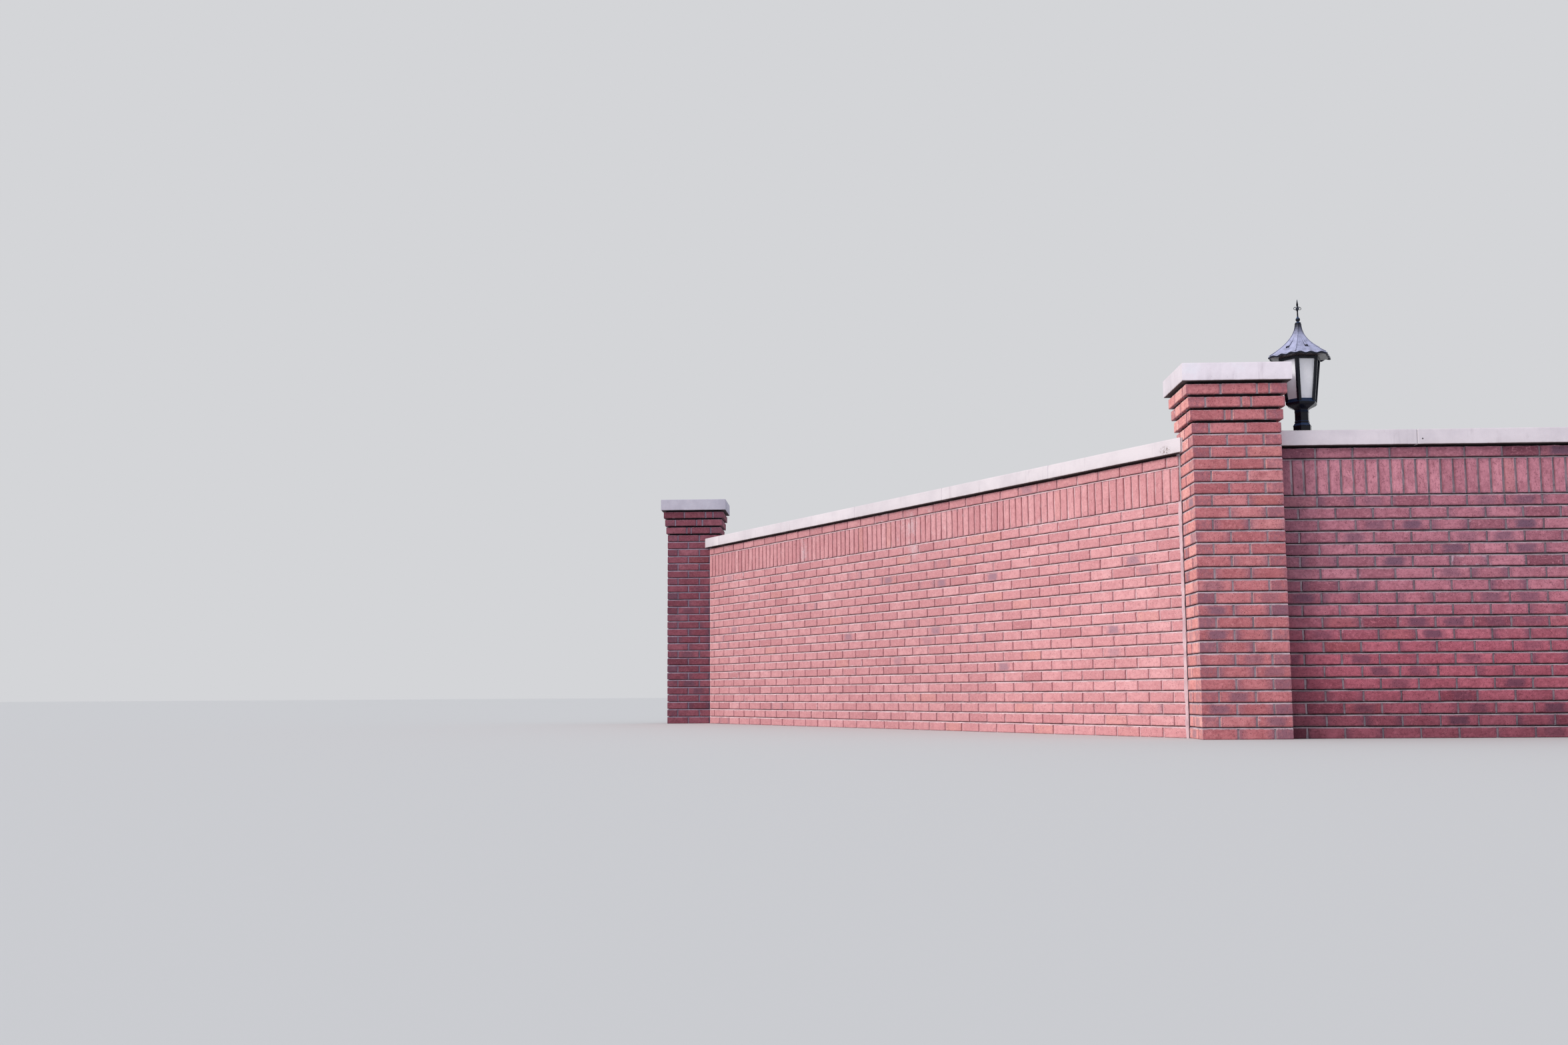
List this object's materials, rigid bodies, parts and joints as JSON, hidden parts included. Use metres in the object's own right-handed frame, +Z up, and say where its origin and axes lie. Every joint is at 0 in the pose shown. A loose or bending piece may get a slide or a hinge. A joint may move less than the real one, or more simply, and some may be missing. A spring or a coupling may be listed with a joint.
{
  "type": "brick garden wall",
  "caption": "Free-standing brick garden wall: a straight bay and a canted bay with stone copings between capped piers, and a lantern beside the corner pier.",
  "frame": {"origin": "middle of the footprint at ground level", "axes": "+X along the straight bay towards the end pier, +Y towards the far pier, away from the face that the picture shows, +Z up"},
  "size_m": [10.988, 6.3315, 2.47],
  "materials": {
    "brick": "matte, wire-cut, with recessed light grey mortar",
    "coping_stone": "matte, slightly stained",
    "mortar": "matte",
    "sealant": "matte, smeared",
    "black_metal": "gloss",
    "opal": "satin, translucent"
  },
  "bodies": {
    "root": {"far_pier_shaft": "brick", "far_pier_corbel": "brick", "far_pier_cap": "coping_stone", "corner_pier_shaft": "brick", "corner_pier_corbel": "brick", "corner_pier_cap": "coping_stone", "end_pier_shaft": "brick", "end_pier_corbel": "brick", "end_pier_cap": "coping_stone", "canted_bay_field": "brick", "canted_bay_soldiers": "brick", "canted_bay_crown": "brick", "canted_coping_stones": "coping_stone", "canted_coping_joints": "mortar", "canted_bay_near_seal": "sealant", "canted_bay_far_seal": "sealant", "straight_bay_field": "brick", "straight_bay_soldiers": "brick", "straight_bay_crown": "brick", "straight_coping_stones": "coping_stone", "straight_coping_joints": "mortar", "straight_bay_near_seal": "sealant", "straight_bay_far_seal": "sealant", "lantern_foot": "black_metal", "lantern_cup": "black_metal", "lantern_frame": "black_metal", "lantern_panes": "opal", "lantern_roof": "black_metal", "lantern_finial": "black_metal"}
  },
  "joints": []
}
